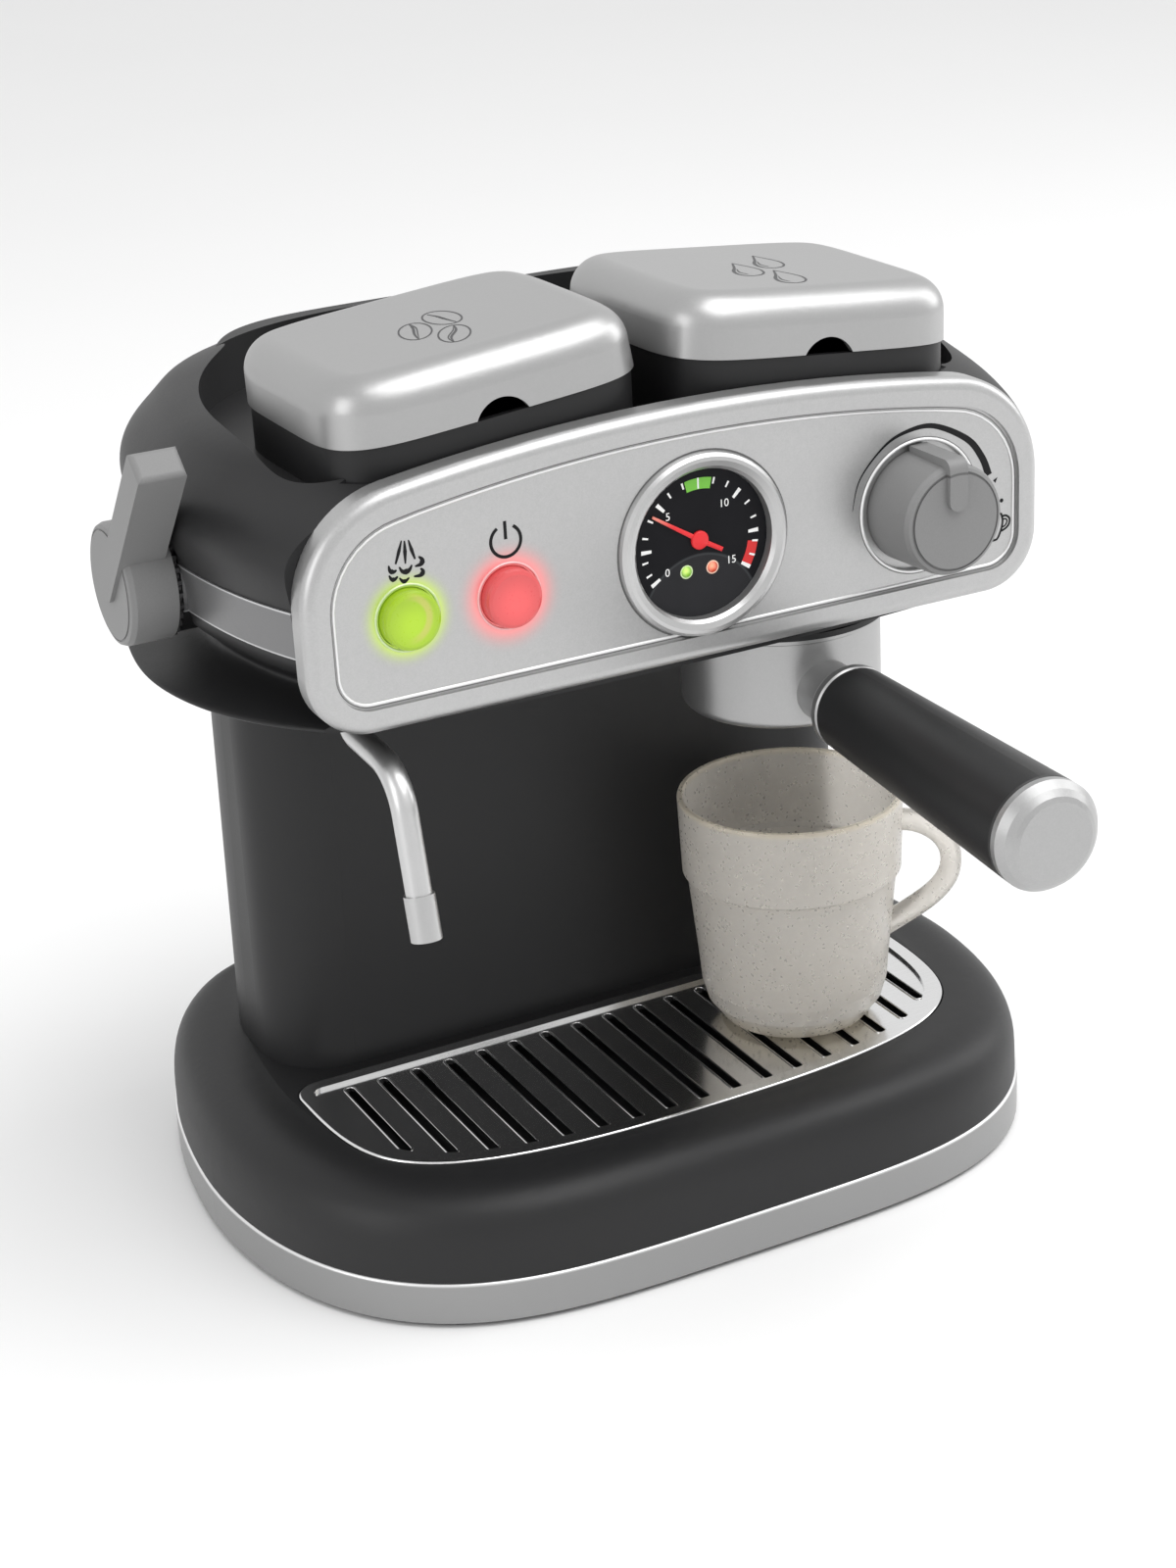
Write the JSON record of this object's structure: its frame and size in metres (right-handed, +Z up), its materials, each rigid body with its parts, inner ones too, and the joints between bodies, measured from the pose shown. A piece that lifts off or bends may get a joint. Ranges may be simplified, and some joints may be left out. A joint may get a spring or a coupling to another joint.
{
  "type": "toy coffee maker",
  "caption": "Toy espresso machine: rounded base with drip grate, column, wide head with gauge, buttons, knobs, hinged lids, turning filter holder, steam wand and cup.",
  "frame": {"origin": "middle of the base, on the surface that the feet stand on", "axes": "+X to the right seen from the front, +Y to the back, +Z up"},
  "size_m": [0.2696, 0.2856, 0.2713],
  "materials": {
    "black_plastic": "moulded matt black plastic with a soft sheen",
    "silver_paint": "silver paint with a fine sparkle over moulded plastic",
    "band_paint": "satin grey-silver paint over moulded plastic",
    "grey_plastic": "moulded matt mid-grey plastic",
    "inner_plastic": "plain moulded plastic of the inner parts",
    "soft_rubber": "matt non-slip rubber",
    "steel_screw": "zinc-plated steel",
    "speaker_steel": "pressed steel frame and magnet",
    "battery_steel": "steel can",
    "contact_brass": "sprung contact plate",
    "pin_steel": "plain drawn steel",
    "spring_steel": "spring steel",
    "dial_black": "printed black face",
    "green_button": "translucent lime green plastic, lit from behind",
    "red_button": "translucent red plastic, lit from behind",
    "lamp_plastic": "clear lens",
    "board_green": "varnished circuit board",
    "wand_tip_silver": "satin silver paint over moulded plastic",
    "champagne_plastic": "slightly see-through champagne plastic"
  },
  "bodies": {
    "machine": {"base_plate": "black_plastic", "rubber_feet": "soft_rubber", "base_ring": "silver_paint", "base_shell": "black_plastic", "column_shell": "black_plastic", "rear_cover": "black_plastic", "rear_cover_screws": "steel_screw", "base_screws": "steel_screw", "speaker": "speaker_steel", "battery_box": "inner_plastic", "batteries": "battery_steel", "battery_contacts": "contact_brass", "battery_door": "black_plastic", "battery_door_screw": "steel_screw", "head_lower_shell": "black_plastic", "head_band": "band_paint", "head_upper_shell": "black_plastic", "bean_container": "black_plastic", "bean_hinge_pin": "pin_steel", "water_tank": "black_plastic", "tank_hinge_pin": "pin_steel", "front_panel": "silver_paint", "gauge_bezel": "silver_paint", "gauge_dial": "dial_black", "steam_button_spring": "spring_steel", "power_button_spring": "spring_steel", "button_switches": "inner_plastic", "button_lamps": "lamp_plastic", "circuit_board": "board_green", "bayonet_ring": "black_plastic", "group_head": "silver_paint", "wand_collar": "black_plastic", "water_pipe": "inner_plastic"},
    "drip_tray_grate": {"drip_grate": "silver_paint"},
    "cup": {"cup": "champagne_plastic"},
    "bean_lid": {"bean_lid": "silver_paint"},
    "tank_lid": {"tank_lid": "silver_paint"},
    "steam_button": {"steam_button": "green_button"},
    "power_button": {"power_button": "red_button"},
    "selector": {"selector_knob": "grey_plastic", "selector_shaft_clip": "pin_steel"},
    "steam_lever": {"steam_knob": "grey_plastic", "steam_click_wheel": "dial_black", "steam_shaft_clip": "pin_steel"},
    "filter_holder": {"filter_bowl": "silver_paint", "handle_ring": "silver_paint", "handle_grip": "black_plastic", "handle_cap": "silver_paint", "handle_rod": "pin_steel"},
    "steam_wand": {"steam_wand": "silver_paint", "wand_nozzle": "wand_tip_silver"}
  },
  "joints": [
    {"name": "selector_turn", "type": "hinge", "parent": "machine", "child": "selector", "pos_m": [0.0722, -0.075, 0.2056], "axis": [0, 1, 0], "range_deg": [-90, 100]},
    {"name": "steam_lever_turn", "type": "hinge", "parent": "machine", "child": "steam_lever", "pos_m": [-0.1235, 0.003, 0.2032], "axis": [-1, 0, 0], "range_deg": [-45, 90]},
    {"name": "steam_button_press", "type": "slide", "parent": "machine", "child": "steam_button", "axis": [0, 1, 0], "range_m": [0, 0.0025], "stiffness_N_per_m": 400, "springref_m": -0.002, "deforming": ["steam_button_spring"]},
    {"name": "power_button_press", "type": "slide", "parent": "machine", "child": "power_button", "axis": [0, 1, 0], "range_m": [0, 0.0025], "stiffness_N_per_m": 400, "springref_m": -0.002, "deforming": ["power_button_spring"]},
    {"name": "bean_lid_turn", "type": "hinge", "parent": "machine", "child": "bean_lid", "pos_m": [-0.04915, 0.0182, 0.25209], "axis": [-0.9955, 0, -0.0946], "range_deg": [0, 95]},
    {"name": "tank_lid_turn", "type": "hinge", "parent": "machine", "child": "tank_lid", "pos_m": [0.04915, 0.0182, 0.25209], "axis": [-0.9955, 0, 0.0946], "range_deg": [0, 95]},
    {"name": "filter_holder_turn", "type": "hinge", "parent": "machine", "child": "filter_holder", "pos_m": [0.04915, -0.0357, 0.16], "axis": [0, 0, -1], "range_deg": [0, 45]},
    {"name": "steam_wand_swing", "type": "hinge", "parent": "machine", "child": "steam_wand", "pos_m": [-0.088, -0.038, 0.17], "axis": [0, 0, -1], "range_deg": [-25, 40]},
    {"name": "grate_lift", "type": "slide", "parent": "machine", "child": "drip_tray_grate", "axis": [0, 0, 1], "range_m": [0, 0.015]},
    {"name": "cup_lift", "type": "slide", "parent": "drip_tray_grate", "child": "cup", "axis": [0, 0, 1], "range_m": [0, 0.012]}
  ]
}
